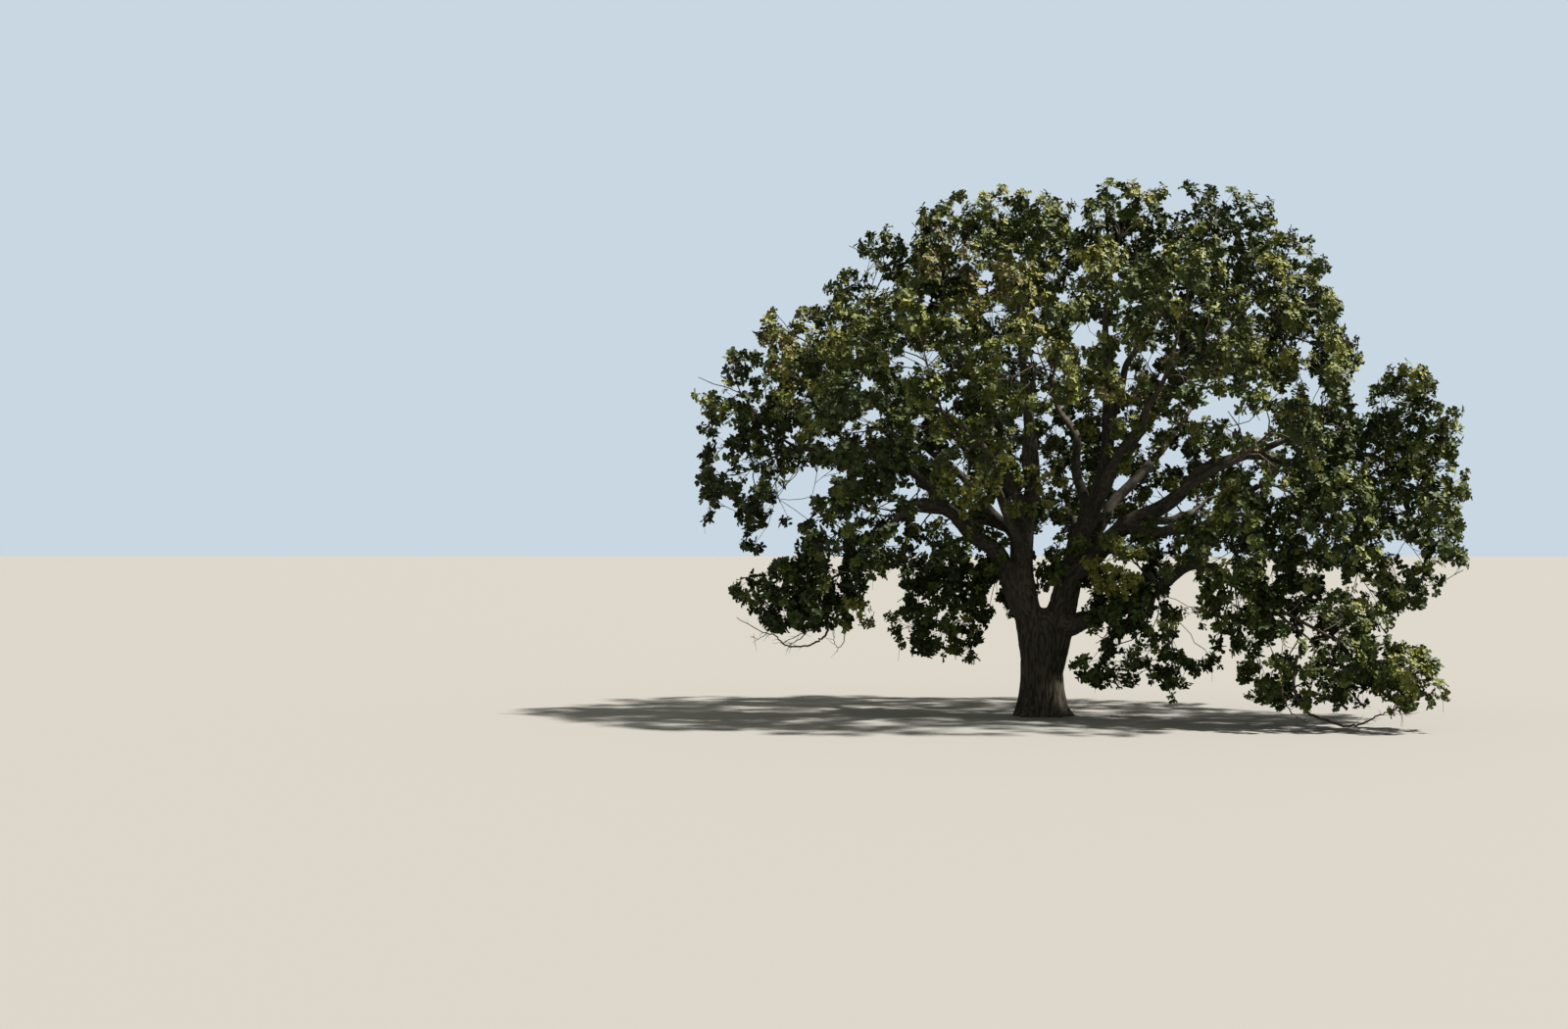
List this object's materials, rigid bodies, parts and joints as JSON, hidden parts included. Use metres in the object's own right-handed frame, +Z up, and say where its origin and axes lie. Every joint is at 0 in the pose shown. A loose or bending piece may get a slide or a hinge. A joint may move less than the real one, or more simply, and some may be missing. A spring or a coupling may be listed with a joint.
{
  "type": "oak tree",
  "caption": "Broad open-grown oak tree in leaf, with a short flared trunk that forks low, long crooked boughs and a wide crown of separate foliage masses.",
  "frame": {"origin": "middle of the flat cut under the trunk, at ground level", "axes": "+Z up, +X to the right and +Y away, seen from the side that the picture shows"},
  "size_m": [21.5701, 15.4619, 14.8554],
  "materials": {
    "bark": "rough grey-brown bark in deep lengthwise furrows",
    "foliage": "matt olive-green lobed leaves, some sprays lighter or yellowing"
  },
  "bodies": {
    "root": {"trunk": "bark", "bough_arch_left": "bark", "bough_back_inner": "bark", "bough_back_left": "bark", "bough_back_low_left": "bark", "bough_back_low_right": "bark", "bough_back_middle": "bark", "bough_back_right": "bark", "bough_far_left": "bark", "bough_far_right": "bark", "bough_front_left": "bark", "bough_front_low_right": "bark", "bough_front_middle": "bark", "bough_front_right": "bark", "bough_high_left": "bark", "bough_leader_left": "bark", "bough_leader_right": "bark", "bough_limb_left": "bark", "bough_limb_right": "bark", "bough_low_left": "bark", "bough_low_right": "bark", "bough_middle_right": "bark", "bough_shoulder_left": "bark", "bough_top_right": "bark", "bough_under_right": "bark", "bough_upper_right": "bark", "foliage_back_inner": "foliage", "foliage_back_left": "foliage", "foliage_back_low_left": "foliage", "foliage_back_low_right": "foliage", "foliage_back_middle": "foliage", "foliage_back_right": "foliage", "foliage_back_top": "foliage", "foliage_far_left": "foliage", "foliage_far_right": "foliage", "foliage_far_upper_left": "foliage", "foliage_far_upper_right": "foliage", "foliage_front_inner_left": "foliage", "foliage_front_left": "foliage", "foliage_front_low_right": "foliage", "foliage_front_middle": "foliage", "foliage_front_right": "foliage", "foliage_front_upper_left": "foliage", "foliage_hanging_left": "foliage", "foliage_inner_right": "foliage", "foliage_low_left": "foliage", "foliage_low_right": "foliage", "foliage_mid_right": "foliage", "foliage_middle_right": "foliage", "foliage_shoulder_left": "foliage", "foliage_shoulder_right": "foliage", "foliage_tip_low_right": "foliage", "foliage_top": "foliage", "foliage_top_left": "foliage", "foliage_top_middle": "foliage", "foliage_top_right": "foliage", "foliage_under_left": "foliage", "foliage_under_right": "foliage", "foliage_upper_left": "foliage", "foliage_upper_right": "foliage"}
  },
  "joints": []
}
